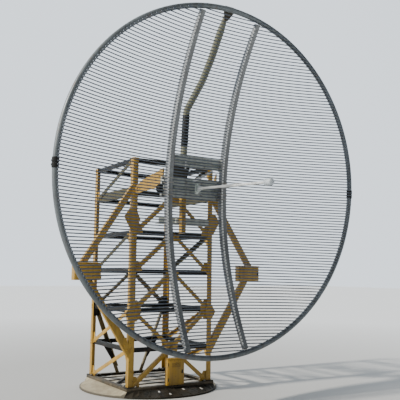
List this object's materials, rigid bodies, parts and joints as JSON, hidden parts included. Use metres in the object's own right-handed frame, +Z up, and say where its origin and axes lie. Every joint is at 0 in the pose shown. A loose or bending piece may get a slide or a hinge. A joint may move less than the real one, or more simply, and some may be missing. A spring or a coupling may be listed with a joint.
{
  "type": "grid parabolic antenna",
  "caption": "Grid parabolic reflector with a feed boom, carried in front of a square braced steel tower on a round plinth.",
  "frame": {"origin": "centre of the round plinth's flat underside", "axes": "+Z up, -Y the way the reflector faces, +X to the right seen from in front"},
  "size_m": [4.5304, 3.8768, 5.082],
  "materials": {
    "yellow_paint": "weathered satin paint",
    "dark_steel": "dull dark paint",
    "galvanised": "dull galvanised",
    "rim_steel": "weathered galvanised",
    "plinth_slab": "dusty, sand coloured",
    "deck_plate": "dark, matt",
    "pale_metal": "pale grey"
  },
  "bodies": {
    "root": {"plinth": "plinth_slab", "base_frame": "dark_steel", "front_deck": "deck_plate", "leg_front_left": "yellow_paint", "leg_front_right": "yellow_paint", "leg_back_left": "yellow_paint", "leg_back_right": "yellow_paint", "tower_front_side": "yellow_paint", "tower_back_side": "yellow_paint", "tower_left_side": "yellow_paint", "tower_right_side": "yellow_paint", "control_box": "yellow_paint", "outrigger_box_left": "yellow_paint", "outrigger_box_right": "yellow_paint", "outrigger_upper_strut_left": "yellow_paint", "outrigger_upper_strut_right": "yellow_paint", "outrigger_lower_strut_left": "yellow_paint", "outrigger_lower_strut_right": "yellow_paint", "gusset_upper_left": "yellow_paint", "gusset_upper_right": "yellow_paint", "gusset_lower_left": "yellow_paint", "gusset_lower_right": "yellow_paint", "hub_arm_left": "yellow_paint", "hub_arm_right": "yellow_paint", "hub_main_beam": "galvanised", "hub_upper_beam": "galvanised", "mast": "yellow_paint", "mast_arm": "yellow_paint", "mast_foot_bracket": "dark_steel", "mast_clamp_lower": "dark_steel", "mast_clamp_upper": "dark_steel", "rib_left": "galvanised", "rib_right": "galvanised", "rim_upper": "rim_steel", "rim_lower": "rim_steel", "rim_joint_left": "dark_steel", "rim_joint_right": "dark_steel", "rim_top_bracket": "dark_steel", "grid_left_upper": "galvanised", "grid_left_lower": "galvanised", "grid_centre_upper": "galvanised", "grid_centre_lower": "galvanised", "grid_right_upper": "galvanised", "grid_right_lower": "galvanised", "boom_block": "pale_metal", "feed_boom": "pale_metal", "feed": "pale_metal"}
  },
  "joints": []
}
